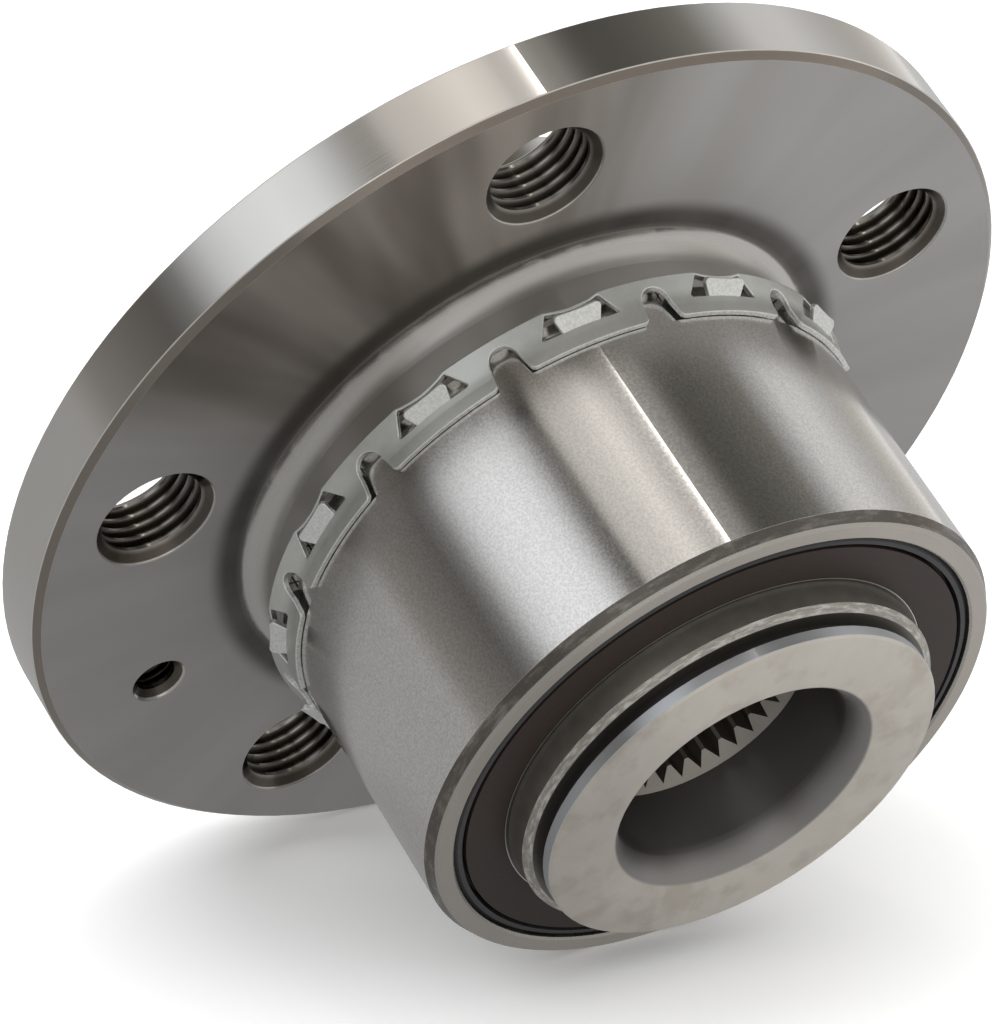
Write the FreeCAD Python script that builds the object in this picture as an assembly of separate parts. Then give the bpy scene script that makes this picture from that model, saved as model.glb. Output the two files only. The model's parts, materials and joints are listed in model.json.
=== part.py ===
"""Wheel hub bearing: a pressed-in double-row ball bearing on a flanged, splined hub.

All sizes are in millimetres. The turning axis is Z. The origin is the centre of the
wheel mounting face, on the flange, and +Z points inboard, towards the knuckle.
"""
import math
import os

import FreeCAD
import Part

# Flange and pilots of the hub
flange_thickness = 9.0
flange_rim = 13.0
flange_inboard_chamfer = 0.9
flange_outboard_chamfer = 0.45
disc_pilot_diameter = 65.0
disc_pilot_height = 7.0
disc_pilot_step = 4.0
wheel_pilot_height = 9.0
pilot_chamfer = 1.0
pilot_wall = 6.5
nut_seat_depth = 13.0
neck_setback = 1.4
neck_height = 6.8
neck_fillet_radius = 3.1

# Threaded wheel bolt holes and the brake disc's locating screw hole
bolt_circle_diameter = 100.0
bolt_count = 5
bolt_thread_diameter = 14.0
bolt_thread_pitch = 1.5
bolt_countersink_margin = 0.425
locating_thread_diameter = 6.0
locating_thread_pitch = 1.0
locating_countersink_margin = 0.45
locating_place_in_pitches = 1.5
thread_depth_per_pitch = 0.54
thread_flank_angle = 30.0

# Splined bore and the head formed over the inner ring
spline_count = 36
spline_root_diameter = 28.4
spline_tooth_height = 1.3
spline_tip_width = 0.5
counterbore_clearance = 0.5
counterbore_depth = 12.15
bore_mouth_width = 1.9
bore_mouth_angle = 45.0
bore_mouth_round = 0.5
head_diameter = 49.3
head_undercut = 1.35
head_height = 3.1
head_band_height = 1.3
head_edge_round = 0.3
head_crown = 0.35
head_hollow_across = 0.47
head_hollow_up = 0.91

# Outer ring
outer_ring_diameter = 72.0
outer_ring_length = 37.6
outer_ring_wall = 3.0
outer_ring_neck_gap = 1.0
outer_end_chamfer_width = 1.0
outer_end_chamfer_length = 1.65
outer_end_lip = 0.35
outer_ring_bore_chamfer = 0.25
outer_ring_outboard_chamfer = 0.3
middle_land_depth = 3.7
snap_groove_offset = 1.0
snap_groove_width = 1.2
snap_groove_depth = 0.8
seat_relief_depth = 0.4
seat_relief_overrun = 0.05

# Ball rows and inner rings
ball_diameter = 10.32
ball_count = 14
race_clearance = 0.05
shoulder_depth = 1.69
low_shoulder_depth = 3.39
inner_ring_wall = 3.58
inner_ring_overhang = 3.55
ring_chamfer_width = 1.0
ring_chamfer_length = 0.66
ring_joint_chamfer = 0.3

# Cages
cage_ring_clearance = 1.2
cage_prong_reach = 2.6
cage_pocket_clearance = 0.2
cage_back_wall = 0.84
cage_seal_gap = 0.8

# Seals
seal_setback = 0.35
seal_depth = 3.05
case_wall = 1.1
case_mouth_chamfer = 0.55
case_flange_thickness = 0.6
case_flange_clearance = 2.1
slinger_wall = 0.45
slinger_case_clearance = 0.8
encoder_thickness = 0.95
encoder_case_clearance = 0.5
encoder_bore_clearance = 0.05
lip_thickness = 0.35
lip_gap = 0.08
lip_root_width = 1.05
lip_foot_width = 0.7

# Snap ring, cut and bent from sheet
snap_sheet = 0.6
snap_standoff = 0.1
snap_pad_length = 2.5
snap_strip_length = 3.1
snap_strip_flare = 1.0
snap_bend_radius = 6.0
snap_edge_round = 0.15
snap_pad_count = 12
snap_first_pad_angle = 1.0
notch_mouth_width = 4.2
notch_root_width = 3.5
notch_root_margin = 1.3
notch_corner_radius = 0.7
window_base_width = 9.9
window_top_width = 6.6
window_corner_radius = 0.25
rim_width = 0.5
rim_hollow_width = 7.5
rim_hollow_depth = 0.65
claw_base_width = 4.6
claw_tip_width = 6.4
claw_corner_radius = 0.6
claw_length = 2.3
claw_angle = 46.0
claw_tip_hollow = 0.15
claw_root = 0.15
hook_width = 2.4
hook_clearance = 0.1
hook_overlap = 0.15
snap_split_gap = 1.6
snap_split_notch = 6
sheet_cut_reach = 9.0
sheet_cut_margin = 1.0

# How the snap ring's cut edges are found, to round them
touching = 0.001
edge_samples = 5

# Radii worked out from the sizes above
full_turn = 360.0
bolt_circle_radius = bolt_circle_diameter / 2
flange_radius = bolt_circle_radius + flange_rim
disc_pilot_radius = disc_pilot_diameter / 2
wheel_pilot_radius = disc_pilot_radius - disc_pilot_step
nut_recess_radius = wheel_pilot_radius - pilot_wall
outer_radius = outer_ring_diameter / 2
neck_radius = outer_radius - neck_setback
ball_radius = ball_diameter / 2
race_radius = ball_radius + race_clearance
seal_bore_radius = outer_radius - outer_ring_wall
ball_circle_radius = seal_bore_radius - race_radius
middle_land_radius = seal_bore_radius - middle_land_depth
shoulder_radius = ball_circle_radius - shoulder_depth
low_shoulder_radius = ball_circle_radius - low_shoulder_depth
spindle_radius = ball_circle_radius - race_radius - inner_ring_wall
spline_root_radius = spline_root_diameter / 2
spline_tip_radius = spline_root_radius - spline_tooth_height
counterbore_radius = spline_root_radius + counterbore_clearance
head_radius = head_diameter / 2
head_seat_radius = head_radius - head_undercut

# Heights worked out from the sizes above
pilot_end = -(disc_pilot_height + wheel_pilot_height)
nut_seat_height = pilot_end + nut_seat_depth
ring_seat_height = flange_thickness + neck_height
outer_ring_start = ring_seat_height + outer_ring_neck_gap
outer_half_length = outer_ring_length / 2
bearing_middle = outer_ring_start + outer_half_length
seal_inner_end = outer_half_length - seal_setback - seal_depth
cage_back_reach = ball_radius + cage_pocket_clearance + cage_back_wall
row_offset = seal_inner_end - cage_seal_gap - cage_back_reach
inner_ring_end = bearing_middle + outer_half_length + inner_ring_overhang
head_top = inner_ring_end + head_height
counterbore_floor = head_top - counterbore_depth
snap_groove_start = outer_ring_start + snap_groove_offset
snap_strip_end = outer_ring_start
snap_bend_height = snap_strip_end + snap_strip_length
snap_pad_end = snap_bend_height + snap_pad_length
notch_root_height = snap_strip_end + notch_root_margin

# The snap ring's bend, in its section
snap_lean = math.atan(snap_strip_flare / snap_strip_length)
snap_pad_radius = outer_radius + snap_standoff + snap_sheet
snap_bend_start = snap_bend_height + snap_bend_radius * math.tan(snap_lean / 2)
snap_bend_end = snap_bend_start - snap_bend_radius * math.sin(snap_lean)
snap_bend_centre = (snap_pad_radius + snap_bend_radius, snap_bend_start)
snap_round = min(snap_edge_round, snap_sheet / 3)

INBOARD = 1
OUTBOARD = -1


def vector(radius, height):
    return FreeCAD.Vector(radius, 0, height)


def turned(start, *steps):
    """Turn a closed outline of (radius, height) points about the axis.

    A step is the next point, or a pair (point on the way, next point) for an arc.
    """
    edges = []
    here = start
    for step in steps + (start,):
        if isinstance(step[0], tuple):
            way, there = step
            edges.append(Part.Arc(vector(*here), vector(*way), vector(*there)).toShape())
        else:
            there = step
            edges.append(Part.LineSegment(vector(*here), vector(*there)).toShape())
        here = there
    face = Part.Face(Part.Wire(edges))
    return face.revolve(FreeCAD.Vector(0, 0, 0), FreeCAD.Vector(0, 0, 1), full_turn)


def on_circle(centre, radius, angle):
    """A point of a circle in the section plane, at an angle in degrees from outward."""
    turn = math.radians(angle)
    return (centre[0] + radius * math.cos(turn), centre[1] + radius * math.sin(turn))


def turned_copy(shape, angle):
    copy = shape.copy()
    copy.rotate(FreeCAD.Vector(0, 0, 0), FreeCAD.Vector(0, 0, 1), angle)
    return copy


def thread_tool(diameter, pitch, countersink_margin):
    """The space of a threaded hole through the flange: ring grooves of the thread's section."""
    depth = flange_thickness
    major_radius = diameter / 2
    flank_height = thread_depth_per_pitch * pitch
    minor_radius = major_radius - flank_height
    flank_length = flank_height * math.tan(math.radians(thread_flank_angle))
    flat = (pitch - 2 * flank_length) / 2
    sink_radius = major_radius + countersink_margin
    sink_depth = sink_radius - minor_radius
    count = int((depth - 2 * sink_depth - flat) / pitch)
    start = (depth - count * pitch - flat) / 2
    outline = [(sink_radius, 0), (minor_radius, sink_depth), (minor_radius, start + flat)]
    for turn in range(count):
        base = start + flat + turn * pitch
        outline.append((major_radius, base + flank_length))
        outline.append((major_radius, base + flank_length + flat))
        outline.append((minor_radius, base + 2 * flank_length + flat))
        outline.append((minor_radius, base + pitch))
    outline.append((minor_radius, depth - sink_depth))
    outline.append((sink_radius, depth))
    outline.append((sink_radius, depth + neck_height))
    outline.append((0, depth + neck_height))
    outline.append((0, -flange_outboard_chamfer))
    outline.append((sink_radius, -flange_outboard_chamfer))
    tool = turned(*outline)
    tool.translate(FreeCAD.Vector(bolt_circle_radius, 0, 0))
    return tool


def spline_tool():
    """The space between two spline teeth, as long as the splined bore."""
    pitch_at_tip = 2 * math.pi * spline_tip_radius / spline_count
    half_mouth = (pitch_at_tip - spline_tip_width) / 2
    over = spline_tip_radius - spline_tooth_height
    half_over = half_mouth * (spline_root_radius - over) / spline_tooth_height
    bottom = nut_seat_height - spline_tooth_height
    corners = [
        FreeCAD.Vector(over, -half_over, bottom),
        FreeCAD.Vector(spline_root_radius, 0, bottom),
        FreeCAD.Vector(over, half_over, bottom),
    ]
    face = Part.Face(Part.makePolygon(corners + corners[:1]))
    return face.extrude(FreeCAD.Vector(0, 0, counterbore_floor + spline_tooth_height - bottom))


def hub_flange():
    lead = counterbore_radius - spline_tip_radius
    band_top = head_top - head_edge_round
    band_bottom = band_top - head_band_height
    fillet_centre = (neck_radius + neck_fillet_radius, flange_thickness + neck_fillet_radius)
    mouth_centre = (counterbore_radius + bore_mouth_width, head_top - bore_mouth_round)
    mouth_edge = on_circle(mouth_centre, bore_mouth_round, 90 + bore_mouth_angle)
    mouth_way = on_circle(mouth_centre, bore_mouth_round, 90 + bore_mouth_angle / 2)
    turn = math.radians(bore_mouth_angle)
    funnel_radius = (mouth_edge[0] - counterbore_radius) / (1 - math.cos(turn))
    funnel_centre = (counterbore_radius + funnel_radius,
                     mouth_edge[1] - funnel_radius * math.sin(turn))
    funnel_way = on_circle(funnel_centre, funnel_radius, 180 - bore_mouth_angle / 2)
    crown_radius = (mouth_centre[0] + head_radius) / 2
    hollow_way = (head_seat_radius + head_hollow_across, inner_ring_end + head_hollow_up)
    body = turned(
        (spline_tip_radius, nut_seat_height + lead),
        (counterbore_radius, nut_seat_height),
        (nut_recess_radius, nut_seat_height),
        (nut_recess_radius, pilot_end + pilot_chamfer),
        (nut_recess_radius + pilot_chamfer, pilot_end),
        (wheel_pilot_radius - pilot_chamfer, pilot_end),
        (wheel_pilot_radius, pilot_end + pilot_chamfer),
        (wheel_pilot_radius, -disc_pilot_height),
        (disc_pilot_radius - pilot_chamfer, -disc_pilot_height),
        (disc_pilot_radius, -disc_pilot_height + pilot_chamfer),
        (disc_pilot_radius, 0),
        (flange_radius - flange_outboard_chamfer, 0),
        (flange_radius, flange_outboard_chamfer),
        (flange_radius, flange_thickness - flange_inboard_chamfer),
        (flange_radius - flange_inboard_chamfer, flange_thickness),
        (fillet_centre[0], flange_thickness),
        (on_circle(fillet_centre, neck_fillet_radius, 225), (neck_radius, fillet_centre[1])),
        (neck_radius, ring_seat_height),
        (spindle_radius, ring_seat_height),
        (spindle_radius, inner_ring_end),
        (head_seat_radius, inner_ring_end),
        (hollow_way, (head_radius, band_bottom)),
        (head_radius, band_top),
        (head_radius - head_edge_round, head_top),
        ((crown_radius, head_top + head_crown), (mouth_centre[0], head_top)),
        (mouth_way, mouth_edge),
        (funnel_way, (counterbore_radius, funnel_centre[1])),
        (counterbore_radius, counterbore_floor),
        (spline_tip_radius, counterbore_floor - lead),
    )
    tools = []
    for tooth in range(spline_count):
        tools.append(turned_copy(spline_tool(), tooth * full_turn / spline_count))
    bolt_tool = thread_tool(bolt_thread_diameter, bolt_thread_pitch, bolt_countersink_margin)
    for hole in range(bolt_count):
        tools.append(turned_copy(bolt_tool, hole * full_turn / bolt_count))
    screw_tool = thread_tool(locating_thread_diameter, locating_thread_pitch,
                             locating_countersink_margin)
    tools.append(turned_copy(screw_tool, locating_place_in_pitches * full_turn / bolt_count))
    return body.cut(tools)


def seat_outline(side, *points):
    """Mirror an outline: heights count from the bearing's middle towards one side."""
    placed = []
    for point in points:
        if isinstance(point[0], tuple):
            placed.append(seat_outline(side, *point))
        else:
            placed.append((point[0], bearing_middle + side * point[1]))
    return tuple(placed)


def race_offset(radius):
    """How far along the axis the raceway's arc meets a cylinder of this radius."""
    return math.sqrt(race_radius ** 2 - (radius - ball_circle_radius) ** 2)


def outer_ring():
    land_radius = middle_land_radius
    end = outer_half_length
    groove_start = bearing_middle - snap_groove_start
    groove_end = groove_start - snap_groove_width
    groove_radius = outer_radius - snap_groove_depth
    relief_radius = outer_radius - seat_relief_depth
    relief_end = bearing_middle - snap_pad_end - seat_relief_overrun
    land_edge = row_offset - race_offset(land_radius)
    race_centre = (ball_circle_radius, row_offset)
    sweep = math.degrees(math.asin((row_offset - land_edge) / race_radius))
    way = on_circle(race_centre, race_radius, -sweep / 2)
    inboard_half = seat_outline(
        INBOARD,
        (outer_radius, end - outer_end_chamfer_length),
        (outer_radius - outer_end_chamfer_width + outer_end_lip, end - outer_end_lip),
        (outer_radius - outer_end_chamfer_width, end),
        (seal_bore_radius + outer_ring_bore_chamfer, end),
        (seal_bore_radius, end - outer_ring_bore_chamfer),
        (seal_bore_radius, row_offset),
        (way, (land_radius, land_edge)),
    )
    outboard_half = seat_outline(
        OUTBOARD,
        (land_radius, land_edge),
        (way, (seal_bore_radius, row_offset)),
        (seal_bore_radius, end - outer_ring_bore_chamfer),
        (seal_bore_radius + outer_ring_bore_chamfer, end),
        (outer_radius - outer_ring_outboard_chamfer, end),
        (outer_radius, end - outer_ring_outboard_chamfer),
        (outer_radius, groove_start),
        (groove_radius, groove_start),
        (groove_radius, groove_end),
        (relief_radius, groove_end),
        (relief_radius, relief_end),
        (outer_radius, relief_end),
    )
    return turned(*inboard_half, *outboard_half)


def inner_ring(side, end):
    """An inner ring from the bearing's middle to its end, with its high shoulder outside."""
    race_centre = (ball_circle_radius, row_offset)
    low_edge = race_offset(low_shoulder_radius)
    high_edge = race_offset(shoulder_radius)
    low_angle = 180 + math.degrees(math.asin(low_edge / race_radius))
    high_angle = 180 - math.degrees(math.asin(high_edge / race_radius))
    way = on_circle(race_centre, race_radius, (low_angle + high_angle) / 2)
    outline = seat_outline(
        side,
        (spindle_radius, 0),
        (low_shoulder_radius - ring_joint_chamfer, 0),
        (low_shoulder_radius, ring_joint_chamfer),
        (low_shoulder_radius, row_offset - low_edge),
        (way, (shoulder_radius, row_offset + high_edge)),
        (shoulder_radius, end - ring_chamfer_length),
        (shoulder_radius - ring_chamfer_width, end),
        (spindle_radius, end),
    )
    return turned(*outline)


def ball_centre(side, number):
    angle = math.radians(number * full_turn / ball_count)
    return FreeCAD.Vector(ball_circle_radius * math.cos(angle),
                          ball_circle_radius * math.sin(angle),
                          bearing_middle + side * row_offset)


def ball(side, number):
    sphere = Part.makeSphere(ball_radius)
    sphere.translate(ball_centre(side, number))
    return sphere


def cage(side):
    """A crown cage: a ring on the seal side with open pockets for the balls."""
    cage_inner_radius = shoulder_radius + cage_ring_clearance
    cage_outer_radius = seal_bore_radius - cage_ring_clearance
    front = row_offset - cage_prong_reach
    back = row_offset + cage_back_reach
    ring = turned(*seat_outline(
        side,
        (cage_inner_radius, front),
        (cage_outer_radius, front),
        (cage_outer_radius, back),
        (cage_inner_radius, back),
    ))
    pockets = []
    for number in range(ball_count):
        pocket = Part.makeSphere(ball_radius + cage_pocket_clearance)
        pocket.translate(ball_centre(side, number))
        pockets.append(pocket)
    return ring.cut(pockets)


def seal_levels():
    """Heights from the bearing's middle: top of the case's flange, of the slinger's, mouth."""
    mouth = seal_inner_end + seal_depth
    flange_top = seal_inner_end + case_flange_thickness
    slinger_top = mouth - encoder_thickness
    return flange_top, slinger_top, mouth


def seal_case(side):
    flange_top, _, mouth = seal_levels()
    case_inner_radius = seal_bore_radius - case_wall
    flange_bore_radius = shoulder_radius + case_flange_clearance
    return turned(*seat_outline(
        side,
        (flange_bore_radius, seal_inner_end),
        (seal_bore_radius, seal_inner_end),
        (seal_bore_radius, mouth - case_mouth_chamfer),
        (seal_bore_radius - case_mouth_chamfer, mouth),
        (case_inner_radius, mouth),
        (case_inner_radius, flange_top),
        (flange_bore_radius, flange_top),
    ))


def slinger(side):
    """A pressed sleeve on the inner ring's shoulder with a flange that guards the lips."""
    _, slinger_top, mouth = seal_levels()
    sleeve_radius = shoulder_radius + slinger_wall
    flange_outer_radius = seal_bore_radius - case_wall - slinger_case_clearance
    return turned(*seat_outline(
        side,
        (shoulder_radius, seal_inner_end),
        (sleeve_radius, seal_inner_end),
        (sleeve_radius, slinger_top - slinger_wall),
        (flange_outer_radius, slinger_top - slinger_wall),
        (flange_outer_radius, slinger_top),
        (sleeve_radius, slinger_top),
        (sleeve_radius, mouth),
        (shoulder_radius, mouth),
    ))


def seal_lip(side):
    """Rubber bonded to the case's flange, with a radial lip and an axial lip."""
    flange_top, slinger_top, _ = seal_levels()
    flange_bore_radius = shoulder_radius + case_flange_clearance
    sleeve_radius = shoulder_radius + slinger_wall + lip_gap
    axial_reach = slinger_top - slinger_wall - lip_gap - flange_top
    axial_height = flange_top + axial_reach
    root_radius = flange_bore_radius + lip_root_width
    return turned(*seat_outline(
        side,
        (flange_bore_radius, seal_inner_end),
        (flange_bore_radius, flange_top),
        (root_radius, flange_top),
        (root_radius + axial_reach, axial_height),
        (root_radius + axial_reach - lip_thickness, axial_height),
        (flange_bore_radius, flange_top + lip_thickness),
        (sleeve_radius + lip_thickness, axial_height - lip_thickness),
        (sleeve_radius, axial_height - lip_thickness),
        (flange_bore_radius - lip_foot_width, seal_inner_end),
    ))


def encoder_ring(side):
    """The magnetised ring on the slinger's outer face, read by the wheel speed sensor."""
    _, slinger_top, mouth = seal_levels()
    inner_radius = shoulder_radius + slinger_wall + encoder_bore_clearance
    encoder_radius = seal_bore_radius - case_wall - encoder_case_clearance
    return turned(*seat_outline(
        side,
        (inner_radius, slinger_top),
        (encoder_radius, slinger_top),
        (encoder_radius, mouth),
        (inner_radius, mouth),
    ))


def sheet_point(across, height):
    """A point of a flat outline that stands inside the snap ring's sheet."""
    return FreeCAD.Vector(outer_radius - snap_groove_depth, across, height)


def radial_cut(edges, angle):
    """A tool through the snap ring's sheet: a flat outline pushed outwards at an angle."""
    tool = Part.Face(Part.Wire(edges)).extrude(FreeCAD.Vector(sheet_cut_reach, 0, 0))
    return turned_copy(tool, angle)


def notch_tool(angle):
    """A U-shaped notch, open at the pads' end, with its root and the pads' corners rounded."""
    root_radius = notch_root_width / 2
    mouth_half = notch_mouth_width / 2
    centre_height = notch_root_height + root_radius
    corner_height = snap_pad_end - notch_corner_radius
    corner_across = mouth_half + notch_corner_radius
    past_end = snap_pad_end + sheet_cut_margin
    diagonal = notch_corner_radius * math.cos(math.radians(45))
    edges = []
    for side in (1, -1):
        root = sheet_point(side * root_radius, centre_height)
        mouth = sheet_point(side * mouth_half, corner_height)
        way = sheet_point(side * (corner_across - diagonal), corner_height + diagonal)
        corner = sheet_point(side * corner_across, snap_pad_end)
        top = sheet_point(side * corner_across, past_end)
        edges.append(Part.LineSegment(root, mouth).toShape())
        edges.append(Part.Arc(mouth, way, corner).toShape())
        edges.append(Part.LineSegment(corner, top).toShape())
    apex = sheet_point(0, notch_root_height)
    edges.append(Part.Arc(sheet_point(-root_radius, centre_height), apex,
                          sheet_point(root_radius, centre_height)).toShape())
    edges.append(Part.LineSegment(sheet_point(-corner_across, past_end),
                                  sheet_point(corner_across, past_end)).toShape())
    return radial_cut(Part.__sortEdges__(edges), angle)


def edges_along_x(solid):
    """The edges of a plate or tool that run along X."""
    edges = []
    for edge in solid.Edges:
        first = edge.Vertexes[0].Point
        last = edge.Vertexes[-1].Point
        if math.hypot(first.y - last.y, first.z - last.z) < touching:
            edges.append(edge)
    return edges


def window_tool(angle):
    """The opening that a claw is lanced from, which leaves a thin rim at the strip's edge."""
    base_half = window_base_width / 2
    top_half = window_top_width / 2
    top_height = snap_strip_end + rim_width
    base_right = sheet_point(base_half, snap_bend_height)
    base_left = sheet_point(-base_half, snap_bend_height)
    top_left = sheet_point(-top_half, top_height)
    top_right = sheet_point(top_half, top_height)
    top_middle = sheet_point(0, top_height + rim_hollow_depth)
    wire = Part.Wire([
        Part.LineSegment(base_right, base_left).toShape(),
        Part.LineSegment(base_left, top_left).toShape(),
        Part.Arc(top_left, top_middle, top_right).toShape(),
        Part.LineSegment(top_right, base_right).toShape(),
    ])
    tool = Part.Face(wire).extrude(FreeCAD.Vector(sheet_cut_reach, 0, 0))
    tool = tool.makeFillet(window_corner_radius, edges_along_x(tool))
    return turned_copy(tool, angle)


def rim_hollow_tool(angle):
    """The shallow hollow in the strip's edge over a claw."""
    half = rim_hollow_width / 2
    past_end = snap_strip_end - sheet_cut_margin
    left = sheet_point(-half, snap_strip_end)
    right = sheet_point(half, snap_strip_end)
    middle = sheet_point(0, snap_strip_end + rim_hollow_depth)
    left_below = sheet_point(-half, past_end)
    right_below = sheet_point(half, past_end)
    return radial_cut([
        Part.Arc(left, middle, right).toShape(),
        Part.LineSegment(right, right_below).toShape(),
        Part.LineSegment(right_below, left_below).toShape(),
        Part.LineSegment(left_below, left).toShape(),
    ], angle)


def split_tool(angle):
    """The gap at which the ring is sprung open."""
    half = snap_split_gap / 2
    bottom = snap_strip_end - sheet_cut_margin
    top = snap_pad_end + sheet_cut_margin
    corners = [sheet_point(-half, bottom), sheet_point(half, bottom),
               sheet_point(half, top), sheet_point(-half, top)]
    return radial_cut(Part.makePolygon(corners + corners[:1]).Edges, angle)


def claw(angle):
    """A claw bent outwards from its pad, wider at its tip, with rounded corners."""
    middle_of_sheet = outer_radius + snap_standoff + snap_sheet / 2
    base_half = claw_base_width / 2
    tip_half = claw_tip_width / 2
    inside = -snap_sheet / 2
    base_left = FreeCAD.Vector(inside, -base_half, claw_root)
    base_right = FreeCAD.Vector(inside, base_half, claw_root)
    tip_left = FreeCAD.Vector(inside, -tip_half, -claw_length)
    tip_right = FreeCAD.Vector(inside, tip_half, -claw_length)
    tip_middle = FreeCAD.Vector(inside, 0, -claw_length + claw_tip_hollow)
    edges = [
        Part.LineSegment(base_left, base_right).toShape(),
        Part.LineSegment(base_right, tip_right).toShape(),
        Part.Arc(tip_right, tip_middle, tip_left).toShape(),
        Part.LineSegment(tip_left, base_left).toShape(),
    ]
    plate = Part.Face(Part.Wire(edges)).extrude(FreeCAD.Vector(snap_sheet, 0, 0))
    corners = [edge for edge in edges_along_x(plate) if edge.CenterOfMass.z < 0]
    plate = plate.makeFillet(claw_corner_radius, corners)
    outer_edges = [edge for edge in plate.Edges
                   if edge.CenterOfMass.x > snap_sheet / 2 - touching
                   and edge.CenterOfMass.z < claw_root - touching]
    plate = plate.makeFillet(snap_round, outer_edges)
    plate.rotate(FreeCAD.Vector(0, 0, 0), FreeCAD.Vector(0, 1, 0), -claw_angle)
    plate.translate(FreeCAD.Vector(middle_of_sheet, 0, snap_bend_height))
    return turned_copy(plate, angle)


def hook(angle):
    """A tab under the sheet that holds the ring in the outer ring's groove."""
    inside = outer_radius - snap_groove_depth + hook_clearance
    bottom = snap_groove_start + hook_clearance
    flare = snap_strip_flare * (snap_bend_height - bottom) / snap_strip_length
    outside = outer_radius + snap_standoff + flare + hook_overlap
    height = snap_groove_width - 2 * hook_clearance
    block = Part.makeBox(outside - inside, hook_width, height,
                         FreeCAD.Vector(inside, -hook_width / 2, bottom))
    return turned_copy(block, angle)


def snap_sheet_ring():
    """The sheet before it is cut: a plain band that bends outwards towards the flange."""
    pad_inner = snap_pad_radius - snap_sheet
    inner_bend_radius = snap_bend_radius + snap_sheet
    bent = full_turn / 2 + math.degrees(snap_lean)
    half_bent = full_turn / 2 + math.degrees(snap_lean) / 2
    inner_way = on_circle(snap_bend_centre, inner_bend_radius, half_bent)
    inner_end = on_circle(snap_bend_centre, inner_bend_radius, bent)
    outer_way = on_circle(snap_bend_centre, snap_bend_radius, half_bent)
    outer_end = on_circle(snap_bend_centre, snap_bend_radius, bent)
    strip_inner_radius = inner_end[0] + (inner_end[1] - snap_strip_end) * math.tan(snap_lean)
    strip_outer = (strip_inner_radius + snap_sheet * math.cos(snap_lean),
                   snap_strip_end + snap_sheet * math.sin(snap_lean))
    return turned(
        (pad_inner, snap_pad_end),
        (pad_inner, snap_bend_start),
        (inner_way, inner_end),
        (strip_inner_radius, snap_strip_end),
        strip_outer,
        outer_end,
        (outer_way, (snap_pad_radius, snap_bend_start)),
        (snap_pad_radius, snap_pad_end),
    )


def depth_in_sheet(point):
    """How far a point lies below the outer face of the snap ring's sheet."""
    radius = math.hypot(point.x, point.y)
    if point.z >= snap_bend_start:
        return snap_pad_radius - radius
    inward = snap_bend_centre[0] - radius
    down = snap_bend_centre[1] - point.z
    if math.atan2(down, inward) <= snap_lean:
        return math.hypot(inward, down) - snap_bend_radius
    return inward * math.cos(snap_lean) + down * math.sin(snap_lean) - snap_bend_radius


def cut_edges(sheet):
    """The edges that the cutting left on the outer face of the snap ring's sheet."""
    edges = []
    for edge in sheet.Edges:
        points = edge.discretize(edge_samples)
        on_face = all(abs(depth_in_sheet(point)) < touching for point in points)
        along_bend = any(all(abs(point.z - height) < touching for point in points)
                         for height in (snap_bend_start, snap_bend_end))
        if on_face and not along_bend:
            edges.append(edge)
    return edges


def snap_ring():
    pitch = full_turn / snap_pad_count
    cuts = []
    additions = []
    half_pad = math.pi * outer_radius / snap_pad_count
    hook_across = (window_base_width / 2 + half_pad - notch_root_width / 2) / 2
    hook_angle = math.degrees(hook_across / outer_radius)
    for number in range(snap_pad_count):
        pad_angle = snap_first_pad_angle + number * pitch
        cuts.append(notch_tool(pad_angle + pitch / 2))
        cuts.append(window_tool(pad_angle))
        cuts.append(rim_hollow_tool(pad_angle))
        additions.append(claw(pad_angle))
        for side in (-1, 1):
            additions.append(hook(pad_angle + side * hook_angle))
    cuts.append(split_tool(snap_first_pad_angle + (snap_split_notch + 0.5) * pitch))
    sheet = snap_sheet_ring().cut(cuts)
    sheet = sheet.makeFillet(snap_round, cut_edges(sheet))
    return sheet.fuse(additions).removeSplitter()


def export(name, shape):
    print(f"{name:24s} solids {len(shape.Solids)} volume {shape.Volume:10.1f} "
          f"valid {shape.isValid()}")
    shape.exportStep(f"parts/{name}.step")


def main():
    os.makedirs("parts", exist_ok=True)
    export("hub_flange", hub_flange())
    export("outer_ring", outer_ring())
    export("inner_ring_outboard", inner_ring(OUTBOARD, bearing_middle - ring_seat_height))
    export("inner_ring_inboard", inner_ring(INBOARD, inner_ring_end - bearing_middle))
    export("snap_ring", snap_ring())
    for side, place in ((OUTBOARD, "outboard"), (INBOARD, "inboard")):
        export(f"cage_{place}", cage(side))
        export(f"seal_case_{place}", seal_case(side))
        export(f"seal_lip_{place}", seal_lip(side))
        export(f"slinger_{place}", slinger(side))
        for number in range(ball_count):
            export(f"ball_{place}_{number + 1:02d}", ball(side, number))
    export("encoder_ring", encoder_ring(INBOARD))


main()
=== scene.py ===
import json
import math

import bpy
from mathutils import Matrix, Vector

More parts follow.
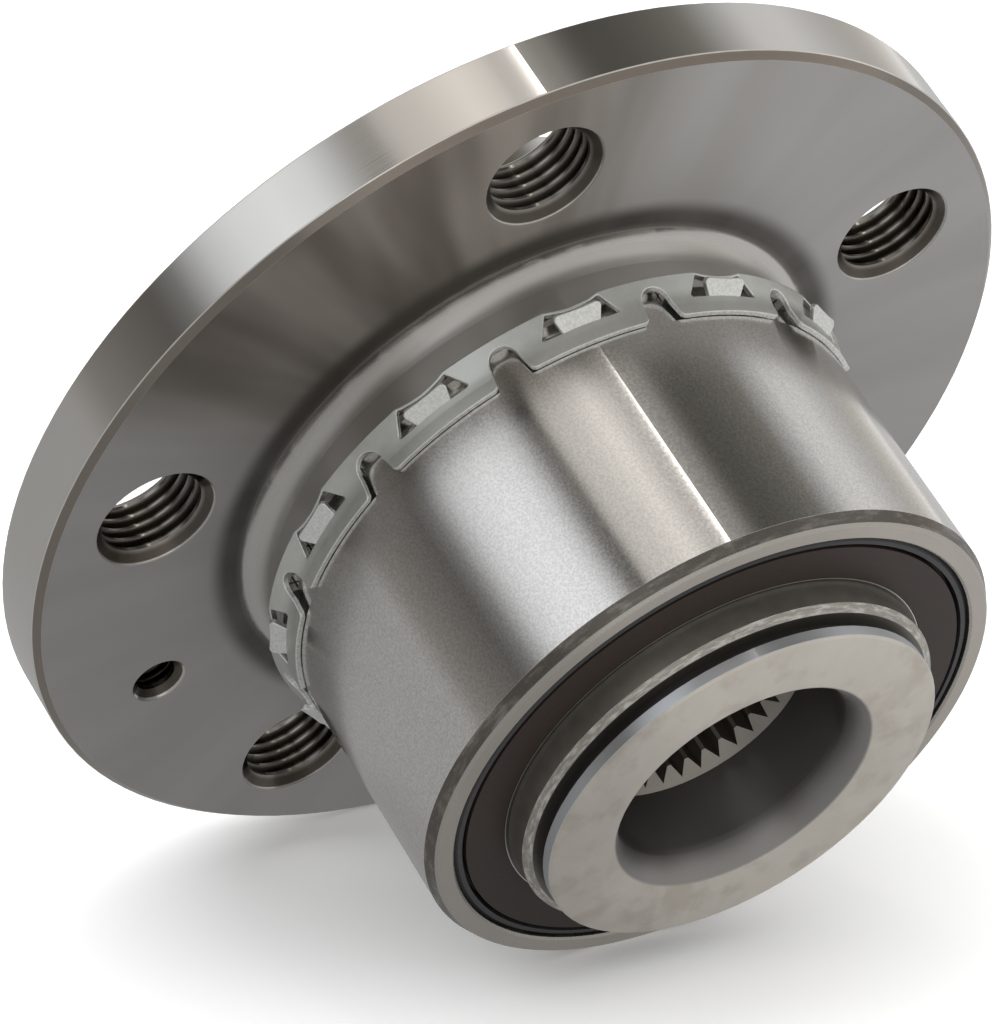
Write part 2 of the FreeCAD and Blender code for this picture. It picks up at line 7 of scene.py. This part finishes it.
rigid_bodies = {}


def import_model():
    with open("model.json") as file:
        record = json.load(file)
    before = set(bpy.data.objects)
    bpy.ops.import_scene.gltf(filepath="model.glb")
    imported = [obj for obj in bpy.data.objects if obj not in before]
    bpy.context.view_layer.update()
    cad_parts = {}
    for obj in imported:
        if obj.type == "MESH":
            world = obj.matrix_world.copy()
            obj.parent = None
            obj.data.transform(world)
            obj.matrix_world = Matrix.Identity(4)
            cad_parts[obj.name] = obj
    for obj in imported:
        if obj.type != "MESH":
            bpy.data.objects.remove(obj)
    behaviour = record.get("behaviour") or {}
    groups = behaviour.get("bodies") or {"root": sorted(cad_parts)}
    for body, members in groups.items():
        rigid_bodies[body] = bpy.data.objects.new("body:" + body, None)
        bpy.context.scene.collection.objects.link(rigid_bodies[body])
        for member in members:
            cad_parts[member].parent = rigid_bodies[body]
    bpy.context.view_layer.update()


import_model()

# The part lies on its flange's rim and its barrel's edge, so up on the table is askew in its frame
table_up = Vector((0.8218, -0.2375, -0.5178)).normalized()
table_height = -0.0581
view_direction = Vector((-0.794698, -0.306951, -0.523675)).normalized()
table_away = (view_direction - table_up * view_direction.dot(table_up)).normalized()
table_right = table_away.cross(table_up)

# Light levels of the studio by elevation in degrees, as (elevation, level, tint)
brightest_light = 2.0
cool = (0.97, 1.0, 1.03)
plain = (1.0, 1.0, 1.0)
warm = (1.04, 1.0, 0.95)
olive = (1.03, 1.0, 0.9)
left_sky = [
    (-20, 0.9, plain), (-4, 0.5, plain), (4, 0.26, warm), (12, 0.18, warm), (20, 0.12, warm),
    (25, 0.25, plain), (32, 0.80, cool), (38, 1.02, cool), (46, 1.12, cool), (53, 0.98, cool),
    (57, 0.74, cool), (60, 0.6, plain), (64, 0.58, warm), (70, 0.76, warm), (75, 0.85, warm),
    (79, 1.0, warm), (83, 1.16, warm), (88, 1.0, warm),
]
front_left_sky = [
    (-20, 0.9, plain), (-4, 0.5, plain), (4, 0.26, warm), (12, 0.18, warm), (20, 0.12, warm),
    (25, 0.25, plain), (32, 0.95, cool), (38, 1.08, cool), (46, 1.14, cool), (53, 1.06, cool),
    (57, 0.72, cool), (60, 0.3, plain), (62, 0.02, plain), (65.5, 0.0, plain), (67.5, 0.6, warm),
    (70, 0.78, warm), (75, 0.84, warm), (79, 1.0, warm), (83, 1.22, warm), (88, 0.9, warm),
]
right_sky = [
    (-12, 1.35, plain), (-4, 1.3, plain), (2, 0.8, warm), (8, 0.58, warm), (14, 0.52, warm),
    (20, 0.6, plain), (30, 0.82, plain), (38, 0.78, plain), (44, 0.5, plain), (51, 0.2, olive),
    (58, 0.14, olive), (66, 0.1, olive), (72, 0.1, olive), (75, 0.17, warm), (78, 0.32, warm),
    (82, 0.5, warm), (88, 0.72, warm),
]

# The overhead tube lies along the bearing's axis, between these shares across it
tube_start = -0.348
tube_end = -0.296

# A wide lamp from above lights the rubber and the table, and doesn't show in the metal
fill_energy = 2.3
fill_angle = 2.0

# Sizes that finishes follow, in metres, as in the part's source
flange_face = 0.009
flange_radius = 0.063
flange_chamfer = 0.0009
bolt_circle = 0.050
locating_angle = 108
barrel_end = 0.0544
end_chamfer = 0.00165
end_lip = 0.00035
slinger_edge = 0.02655
ring_end = 0.05795
ring_chamfer = 0.00066
bore_mouth = 0.0166
neck_edge = 0.0380
head_side = 0.0245
head_corner = 0.0607
head_foot = 0.0593
spline_end = 0.0489
bolt_root = 0.00715
bolt_crest = 0.0062
screw_root = 0.0031

# Light on the table, by the ray that meets it
glow_left = 0.28
glow_right = 0.20
glow_to_camera = 0.2
table_tint = (0.11, 0.11, 0.11, 1)
table_white = (0.94, 0.94, 0.94, 1)


class Value:
    """A number, colour or vector socket of a node tree that can be reckoned with."""

    def __init__(self, tree, socket):
        self.tree = tree
        self.socket = socket

    def math(self, operation, *others, swap=False):
        node = self.tree.nodes.new("ShaderNodeMath")
        node.operation = operation
        terms = (self,) + others
        if swap:
            terms = others + (self,)
        for place, term in enumerate(terms):
            if isinstance(term, Value):
                self.tree.links.new(term.socket, node.inputs[place])
            else:
                node.inputs[place].default_value = term
        return Value(self.tree, node.outputs[0])

    def __add__(self, other):
        return self.math("ADD", other)

    __radd__ = __add__

    def __sub__(self, other):
        return self.math("SUBTRACT", other)

    def __rsub__(self, other):
        return self.math("SUBTRACT", other, swap=True)

    def __mul__(self, other):
        return self.math("MULTIPLY", other)

    __rmul__ = __mul__

    def __truediv__(self, other):
        return self.math("DIVIDE", other)

    def __rtruediv__(self, other):
        return self.math("DIVIDE", other, swap=True)

    def __abs__(self):
        return self.math("ABSOLUTE")

    def root(self):
        return self.math("SQRT")

    def least(self, other):
        return self.math("MINIMUM", other)

    def most(self, other):
        return self.math("MAXIMUM", other)


class Shading:
    """The node tree of one material or world, built by short calls."""

    def __init__(self, owner):
        owner.use_nodes = True
        self.tree = owner.node_tree
        self.tree.nodes.clear()

    def node(self, kind, settings=None, **inputs):
        """Add a node: settings first, then its inputs by socket name, spaces as underscores."""
        made = self.tree.nodes.new(kind)
        for name, setting in (settings or {}).items():
            if name == "stops":
                self.fill_ramp(made.color_ramp, setting)
            else:
                setattr(made, name, setting)
        for name, given in inputs.items():
            self.put(made, name.replace("_", " "), given)
        return made

    def put(self, node, name, given):
        if name.startswith("at "):
            socket = node.inputs[int(name[3:])]
        else:
            socket = node.inputs[name]
        if isinstance(given, Value):
            self.tree.links.new(given.socket, socket)
        else:
            socket.default_value = given

    def fill_ramp(self, ramp, stops):
        while len(ramp.elements) > 1:
            ramp.elements.remove(ramp.elements[0])
        ramp.elements[0].position = stops[0][0]
        ramp.elements[0].color = stops[0][1]
        for place, colour in stops[1:]:
            ramp.elements.new(place).color = colour

    def out(self, node, name=0):
        return Value(self.tree, node.outputs[name])

    def step(self, value, start, end):
        """0 below start and 1 above end, with a smooth rise."""
        made = self.node("ShaderNodeMapRange", {"interpolation_type": "SMOOTHSTEP"},
                         at_0=value, at_1=start, at_2=end)
        return self.out(made)

    def band(self, value, start, end, soft):
        """1 between start and end, with soft edges outside."""
        return self.step(value, start - soft, start) * (1 - self.step(value, end, end + soft))

    def blend(self, share, first, second):
        """A colour between two colours."""
        made = self.node("ShaderNodeMix", {"data_type": "RGBA"}, at_0=share, at_6=first,
                         at_7=second)
        return Value(self.tree, made.outputs[2])

    def place(self):
        """The Object coordinates of the surface, whole and as x, y and z."""
        made = self.node("ShaderNodeTexCoord")
        split = self.node("ShaderNodeSeparateXYZ", Vector=Value(self.tree, made.outputs["Object"]))
        return (Value(self.tree, made.outputs["Object"]), self.out(split, 0), self.out(split, 1),
                self.out(split, 2))

    def join(self, x, y, z):
        return self.out(self.node("ShaderNodeCombineXYZ", at_0=x, at_1=y, at_2=z))

    def noise(self, vector, scale, detail=3.0, roughness=0.5):
        made = self.node("ShaderNodeTexNoise", Vector=vector, Scale=scale, Detail=detail,
                         Roughness=roughness)
        return self.out(made)

    def bump(self, height, strength, distance):
        return self.out(self.node("ShaderNodeBump", Height=height, Strength=strength,
                                  Distance=distance))

    def surface(self, **inputs):
        shader = self.node("ShaderNodeBsdfPrincipled", None, **inputs)
        self.finish(shader)

    def finish(self, shader):
        output = self.tree.nodes.new("ShaderNodeOutputMaterial")
        self.tree.links.new(shader.outputs[0], output.inputs[0])


def new_finish(name):
    material = bpy.data.materials.new(name)
    return material, Shading(material)


def around_axis(x, y):
    """Distance from the turning axis, and the angle round it in turns."""
    radius = (x * x + y * y).root()
    turn = y.math("ARCTAN2", x) / (2 * math.pi)
    return radius, turn


def hole_distance(x, y, radius, turn):
    """Distance from the axis of the nearest wheel bolt hole or of the locating screw hole."""
    nearest = (turn * 5).math("ROUND") / 5
    swing = (turn - nearest) * (2 * math.pi)
    cosine = swing.math("COSINE")
    bolt = (radius * radius + bolt_circle * bolt_circle - 2 * bolt_circle * radius * cosine).root()
    angle = math.radians(locating_angle)
    across = x - bolt_circle * math.cos(angle)
    along = y - bolt_circle * math.sin(angle)
    return bolt, (across * across + along * along).root()


def hub_finish():
    """Turned hub: satin rim with a painted glint on its edge line, streaked face with a painted
    darker, browner reflection in one sector, a dark ring of painted shade at the neck, threads with
    painted shade in the holes and painted glints on the crests, and a formed head with painted
    shade in the hollow under it.
    """
    material, shade = new_finish("turned hub steel")
    point, x, y, z = shade.place()
    radius, turn = around_axis(x, y)
    bolt, screw = hole_distance(x, y, radius, turn)
    inside = shade.band(z, -0.0002, flange_face + 0.0001, 0.0002)
    thread = inside * (1 - shade.step(bolt, bolt_root, bolt_root + 0.00015)
                       * shade.step(screw, screw_root, screw_root + 0.0001))
    painted_crest_glint = 1 - shade.step(bolt, bolt_crest, bolt_crest + 0.0004)
    face = shade.band(z, flange_face - 0.00005, flange_face + 0.00005, 0.0001)
    corner = (shade.step(z, flange_face - flange_chamfer, flange_face - flange_chamfer + 0.00004)
              * shade.step(radius, flange_radius - flange_chamfer,
                           flange_radius - flange_chamfer + 0.00004))
    face = face * (1 - corner)
    neck = shade.step(z, flange_face + 0.0001, flange_face + 0.001)
    head = shade.step(z, ring_end - 0.0001, ring_end)
    band = (head * shade.step(radius, head_side, head_side + 0.0001)
            * (1 - shade.step(z, head_corner, head_corner + 0.0002)))
    # Painted shade goes in the hollow under the head's side band.
    painted_hollow_shade = head * (1 - shade.step(z, head_foot, head_foot + 0.0002))
    bore = 1 - shade.step(radius, bore_mouth - 0.0004, bore_mouth)

    rings = shade.noise(shade.join(radius * 3500, turn * 2, z * 3500), 1.0, 2.0)
    patches = shade.noise(point, 38.0, 3.0)
    streaks = shade.noise(shade.join(turn * 34, radius * 18, z * 25), 1.0, 2.0)
    cloud = shade.noise(point, 130.0, 4.0, 0.6)
    smudges = shade.step(shade.noise(point, 190.0, 3.0, 0.6), 0.45, 0.7)

    colour = shade.blend(patches, (0.58, 0.56, 0.53, 1), (0.68, 0.66, 0.63, 1))
    grey = shade.blend(streaks, (0.48, 0.46, 0.44, 1), (0.63, 0.62, 0.61, 1))
    # Painted reflection: one sector of the face, turn 0 to 0.12, is darker and browner, standing in
    # for the studio's reflection in the turned face.
    painted_reflection_brown = shade.blend(shade.step(streaks, 0.3, 0.7), (0.19, 0.165, 0.14, 1),
                        (0.46, 0.42, 0.38, 1))
    grey = shade.blend(shade.band(turn, 0.0, 0.12, 0.06), grey, painted_reflection_brown)
    # Painted shade: a dark ring all round the face just outside the neck.
    painted_neck_shade = shade.band(radius, neck_edge, neck_edge + 0.0008, 0.0028) * (0.6 + streaks * 0.5)
    grey = shade.blend(painted_neck_shade, grey, (0.10, 0.09, 0.08, 1))
    colour = shade.blend(face, colour, grey)
    # Painted glint: a thin bright line at the outer edge of the rim's chamfer.
    painted_rim_glint = shade.step(radius, flange_radius - 0.00016, flange_radius - 0.0001)
    edge = shade.blend(painted_rim_glint, (0.27, 0.24, 0.21, 1), (0.78, 0.76, 0.73, 1))
    colour = shade.blend(corner, colour, edge)
    formed = shade.blend(cloud, (0.68, 0.63, 0.56, 1), (0.89, 0.84, 0.76, 1))
    formed = shade.blend(smudges * 0.5, formed, (0.55, 0.49, 0.42, 1))
    formed = shade.blend(band, formed, (0.70, 0.72, 0.75, 1))
    # Painted shade: the hollow under the head is dark.
    formed = shade.blend(painted_hollow_shade, formed, (0.13, 0.125, 0.12, 1))
    colour = shade.blend(head, colour, formed)
    colour = shade.blend(bore, colour, (0.36, 0.345, 0.335, 1))
    splined = shade.blend(cloud, (0.26, 0.24, 0.215, 1), (0.40, 0.375, 0.34, 1))
    teeth = bore * (1 - shade.step(z, spline_end, spline_end + 0.0001))
    colour = shade.blend(teeth, colour, splined)
    # Painted shade: the threads in the bolt and screw holes are near black, with painted glints on
    # their crests.
    painted_thread_shade_and_glint = shade.blend(cloud, (0.07, 0.06, 0.05, 1), (0.16, 0.145, 0.125, 1))
    painted_thread_shade_and_glint = shade.blend(painted_crest_glint * 0.6, painted_thread_shade_and_glint, (0.40, 0.38, 0.35, 1))
    colour = shade.blend(thread, colour, painted_thread_shade_and_glint)

    rough = (0.12 + patches * 0.04 + face * 0.30 + neck * (1 - head) * 0.16 + head * 0.22
             + thread * 0.12)
    shade.surface(Base_Color=colour, Metallic=1.0, Roughness=rough, Anisotropic=0.95,
                  Anisotropic_Rotation=0.25, Normal=shade.bump(rings, 0.04, 0.0001))
    return material


def barrel_finish():
    """Ground steel with a fine speckle, and a scuffed dark chamfer at its end."""
    material, shade = new_finish("ground barrel steel")
    point, x, y, z = shade.place()
    radius, turn = around_axis(x, y)
    speckle = shade.noise(point, 3600.0, 2.0)
    patches = shade.noise(point, 60.0, 3.0)
    scuffs = shade.noise(shade.join(turn * 60, radius * 900, z * 900), 1.0, 4.0, 0.65)
    end = shade.step(z, barrel_end - end_chamfer, barrel_end - end_chamfer + 0.00005)
    lip = shade.step(z, barrel_end - end_lip - 0.00003, barrel_end - end_lip + 0.00003)
    flat = shade.step(z, barrel_end - 0.00005, barrel_end - 0.00002)
    colour = shade.blend(shade.step(speckle, 0.3, 0.7), (0.59, 0.575, 0.555, 1),
                         (0.74, 0.725, 0.70, 1))
    chamfer = shade.blend(shade.step(scuffs, 0.45, 0.75), (0.16, 0.145, 0.13, 1),
                          (0.34, 0.315, 0.285, 1))
    rim = shade.blend(patches, (0.55, 0.51, 0.455, 1), (0.70, 0.655, 0.60, 1))
    ending = shade.blend(flat, shade.blend(lip, chamfer, (0.52, 0.50, 0.46, 1)), rim)
    colour = shade.blend(end, colour, ending)
    rough = 0.10 + speckle * 0.05 + patches * 0.02 + end * 0.14 + flat * 0.1
    shade.surface(Base_Color=colour, Metallic=1.0, Roughness=rough, Anisotropic=0.98,
                  Anisotropic_Rotation=0.25,
                  Normal=shade.bump(speckle * (1 - end), 0.015, 0.00005))
    return material


def raceway_finish():
    """Dark ground bearing rings with a bright streaked chamfer on the inboard one, and painted
    shade on its end face under the head.
    """
    material, shade = new_finish("bearing ring steel")
    point, x, y, z = shade.place()
    radius, turn = around_axis(x, y)
    blotches = shade.noise(point, 500.0, 4.0, 0.65)
    streaks = shade.noise(shade.join(turn * 90, radius * 2500, z * 2500), 1.0, 3.0, 0.6)
    chamfer = shade.band(z, ring_end - ring_chamfer, ring_end - 0.00004, 0.00003)
    # Painted shade: the inboard ring's end face, under the head's overhang, is dark.
    end = shade.step(z, ring_end - 0.00003, ring_end - 0.00001)
    bright = shade.blend(shade.step(streaks, 0.4, 0.75), (0.40, 0.38, 0.34, 1),
                         (0.78, 0.75, 0.69, 1))
    dark = shade.blend(blotches, (0.27, 0.255, 0.225, 1), (0.40, 0.385, 0.345, 1))
    colour = shade.blend(end, shade.blend(chamfer, dark, bright), (0.22, 0.21, 0.19, 1))
    shade.surface(Base_Color=colour, Metallic=1.0, Roughness=0.38 - chamfer * 0.16 + blotches * 0.1,
                  Anisotropic=0.4, Anisotropic_Rotation=0.25)
    return material


def slinger_finish():
    """Dull pressed sheet whose outer end edge is bare and bright."""
    material, shade = new_finish("slinger sheet")
    point, x, y, z = shade.place()
    radius = around_axis(x, y)[0]
    speckle = shade.noise(point, 900.0, 3.0)
    bare = shade.step(radius, slinger_edge - 0.00013, slinger_edge - 0.00009)
    dull = shade.blend(speckle, (0.10, 0.095, 0.085, 1), (0.16, 0.15, 0.14, 1))
    shade.surface(Base_Color=shade.blend(bare, dull, (0.72, 0.71, 0.68, 1)), Metallic=1.0,
                  Roughness=0.3 + speckle * 0.08)
    return material


def zinc_finish():
    """Zinc plated spring sheet: grey-green, mottled, with painted highlights on the rolled edges,
    the bent-out claws and the cut faces.
    """
    material, shade = new_finish("zinc plated sheet")
    point, x, y, z = shade.place()
    radius = around_axis(x, y)[0]
    coordinates = shade.node("ShaderNodeTexCoord")
    normal = shade.node("ShaderNodeSeparateXYZ", Vector=shade.out(coordinates, "Normal"))
    outward = abs(shade.out(normal, 0) * x + shade.out(normal, 1) * y) / radius
    # Painted highlight: the rolled edges and the bent-out claws, which turn away from the outward
    # direction, are lighter than the sheet.
    painted_edge_glint = 1 - shade.step(outward, 0.74, 0.92)
    painted_cut_highlight = 1 - shade.step(outward, 0.12, 0.3)
    mottle = shade.noise(point, 700.0, 4.0, 0.6)
    sparkle = shade.noise(point, 3200.0, 2.0)
    sheet = shade.blend(mottle, (0.63, 0.64, 0.605, 1), (0.78, 0.79, 0.755, 1))
    bright = shade.blend(shade.step(sparkle, 0.3, 0.7), (0.76, 0.77, 0.74, 1),
                         (0.92, 0.93, 0.90, 1))
    # Painted highlight: the cut faces are lighter still.
    painted_cut_colour = shade.blend(shade.step(sparkle, 0.35, 0.65), (0.74, 0.75, 0.72, 1),
                      (0.95, 0.96, 0.93, 1))
    colour = shade.blend(painted_cut_highlight, shade.blend(painted_edge_glint, sheet, bright), painted_cut_colour)
    shade.surface(Base_Color=colour, Metallic=1.0, Roughness=0.36 + mottle * 0.12,
                  Normal=shade.bump(mottle, 0.06, 0.0001))
    return material


def ball_finish():
    """Polished bearing balls, with a faint cloudiness."""
    material, shade = new_finish("polished ball steel")
    point = shade.place()[0]
    speckle = shade.noise(point, 900.0, 3.0)
    shade.surface(Base_Color=shade.blend(speckle, (0.5904, 0.5904, 0.5986, 1),
                                         (0.72, 0.72, 0.73, 1)),
                  Metallic=1.0, Roughness=0.04 + speckle * 0.1)
    return material


def moulded_finish(name, colour, rough):
    """Dull rubber, coating or plastic with a fine grain."""
    material, shade = new_finish(name)
    point = shade.place()[0]
    speckle = shade.noise(point, 1400.0, 4.0)
    lighter = tuple(part * 1.5 for part in colour[:3]) + (1,)
    shade.surface(Base_Color=shade.blend(speckle, colour, lighter), Roughness=rough,
                  Specular_IOR_Level=0.35, Normal=shade.bump(speckle, 0.2, 0.00005))
    return material


def dress():
    """Give each material slot of the nodes its finish."""
    finishes = {
        "hub_steel": hub_finish(),
        "ring_steel": barrel_finish(),
        "raceway_steel": raceway_finish(),
        "ball_steel": ball_finish(),
        "slinger_steel": slinger_finish(),
        "zinc_sheet": zinc_finish(),
        "cage_plastic": moulded_finish("cage plastic", (0.50, 0.41, 0.26, 1), 0.5),
        "seal_case_coat": moulded_finish("coated seal case", (0.046, 0.046, 0.048, 1), 0.42),
        "seal_rubber": moulded_finish("seal rubber", (0.032, 0.032, 0.032, 1), 0.5),
        "encoder_rubber": moulded_finish("encoder rubber", (0.036, 0.025, 0.021, 1), 0.48),
    }
    for thing in bpy.data.objects:
        if thing.type != "MESH":
            continue
        for slot in thing.material_slots:
            if slot.name.split(".")[0] in finishes:
                slot.material = finishes[slot.name.split(".")[0]]


def lay_table():
    """A white table under the part, clear when it is looked at from below."""
    bpy.ops.mesh.primitive_circle_add(vertices=96, radius=3.0, fill_type="NGON")
    table = bpy.context.object
    table.name = "table"
    turn = Matrix((table_right, table_away, table_up)).transposed().to_4x4()
    table.matrix_world = Matrix.Translation(table_up * table_height) @ turn
    material, shade = new_finish("white table")
    path = shade.node("ShaderNodeLightPath")
    facing = shade.node("ShaderNodeNewGeometry")
    camera_ray = shade.out(path, "Is Camera Ray")
    across = shade.place()[1]
    lit = glow_left + shade.step(across, 0.0, 0.07) * glow_right
    paper = shade.node("ShaderNodeBsdfDiffuse",
                       Color=shade.blend(camera_ray, table_tint, table_white))
    glow = shade.node("ShaderNodeEmission", Color=(1, 1, 1, 1),
                      Strength=lit * (1 - camera_ray) + camera_ray * glow_to_camera)
    seen = shade.node("ShaderNodeAddShader")
    shade.tree.links.new(paper.outputs[0], seen.inputs[0])
    shade.tree.links.new(glow.outputs[0], seen.inputs[1])
    clear = shade.node("ShaderNodeBsdfTransparent")
    under = shade.out(facing, "Backfacing") * camera_ray
    both = shade.node("ShaderNodeMixShader", None, at_0=under)
    shade.tree.links.new(seen.outputs[0], both.inputs[1])
    shade.tree.links.new(clear.outputs[0], both.inputs[2])
    shade.finish(both)
    table.data.materials.append(material)


def sky_side(shade, height, stops):
    """Light by elevation on one side of the studio: (degrees, level, tint) from low to high."""
    ramp = []
    for elevation, level, tint in stops:
        colour = tuple(part * level / brightest_light for part in tint) + (1,)
        ramp.append(((elevation + 90) / 180, colour))
    made = shade.node("ShaderNodeValToRGB", {"stops": ramp}, Fac=height)
    return Value(shade.tree, made.outputs[0])


def light_studio():
    """Soft boxes left and right, dark screens between them, and a long tube overhead."""
    world = bpy.data.worlds.new("studio")
    bpy.context.scene.world = world
    shade = Shading(world)
    coordinates = shade.node("ShaderNodeTexCoord")
    ray = Value(shade.tree, coordinates.outputs["Generated"])

    def along(axis):
        made = shade.node("ShaderNodeVectorMath", {"operation": "DOT_PRODUCT"},
                          at_0=ray, at_1=tuple(axis))
        return Value(shade.tree, made.outputs["Value"])

    rise = along(table_up).most(-1.0).least(1.0).math("ARCSINE")
    height = (rise + math.pi / 2) / math.pi
    level_part = (along(table_right) * along(table_right) + along(table_away) * along(table_away))
    level_part = level_part.root().most(0.001)
    sideways = along(table_right) / level_part
    forwards = along(table_away) / level_part
    left = shade.blend(shade.step(forwards, -0.39, -0.29), sky_side(shade, height, front_left_sky),
                       sky_side(shade, height, left_sky))
    right = sky_side(shade, height, right_sky)
    studio = shade.blend(shade.step(sideways, -0.9, 0.3), left, right)
    overhead = along(table_up).most(0.05)
    tube = shade.band(along((0, 1, 0)), tube_start, tube_end, 0.004)
    tube = tube * shade.band(along((0, 0, 1)), -0.85, -0.1, 0.05)
    studio = shade.blend(tube * shade.step(overhead, 0.6, 0.7), studio, (1.8, 1.75, 1.7, 1))
    path = shade.node("ShaderNodeLightPath")
    seen = shade.out(path, "Is Camera Ray")
    colour = shade.blend(seen, studio, (1, 1, 1, 1))
    strength = brightest_light * (1 - seen) + seen
    background = shade.node("ShaderNodeBackground", Color=colour, Strength=strength)
    output = shade.tree.nodes.new("ShaderNodeOutputWorld")
    shade.tree.links.new(background.outputs[0], output.inputs[0])

    lamp = bpy.data.lights.new("fill", "SUN")
    lamp.energy = fill_energy
    lamp.angle = fill_angle
    fill = bpy.data.objects.new("fill", lamp)
    fill.matrix_world = (table_up.to_track_quat("Z", "Y").to_matrix().to_4x4())
    fill.visible_glossy = False
    bpy.context.scene.collection.objects.link(fill)


def set_camera():
    """The camera that fits the part's own circles in the photograph."""
    camera_data = bpy.data.cameras.new("camera")
    camera_data.sensor_fit = "HORIZONTAL"
    camera_data.sensor_width = 36
    camera_data.lens = 208.68
    camera_data.clip_start = 0.01
    camera_data.clip_end = 20
    camera = bpy.data.objects.new("camera", camera_data)
    bpy.context.scene.collection.objects.link(camera)
    right = Vector((0.036376, -0.885253, 0.463686))
    up = Vector((0.605914, -0.349441, -0.714674))
    turn = Matrix((right, up, -view_direction)).transposed().to_4x4()
    camera.matrix_world = Matrix.Translation((0.527614, 0.210767, 0.362193)) @ turn
    bpy.context.scene.camera = camera


bpy.ops.object.select_all(action="DESELECT")
dress()
lay_table()
light_studio()
set_camera()
bpy.context.scene.view_settings.view_transform = "Standard"
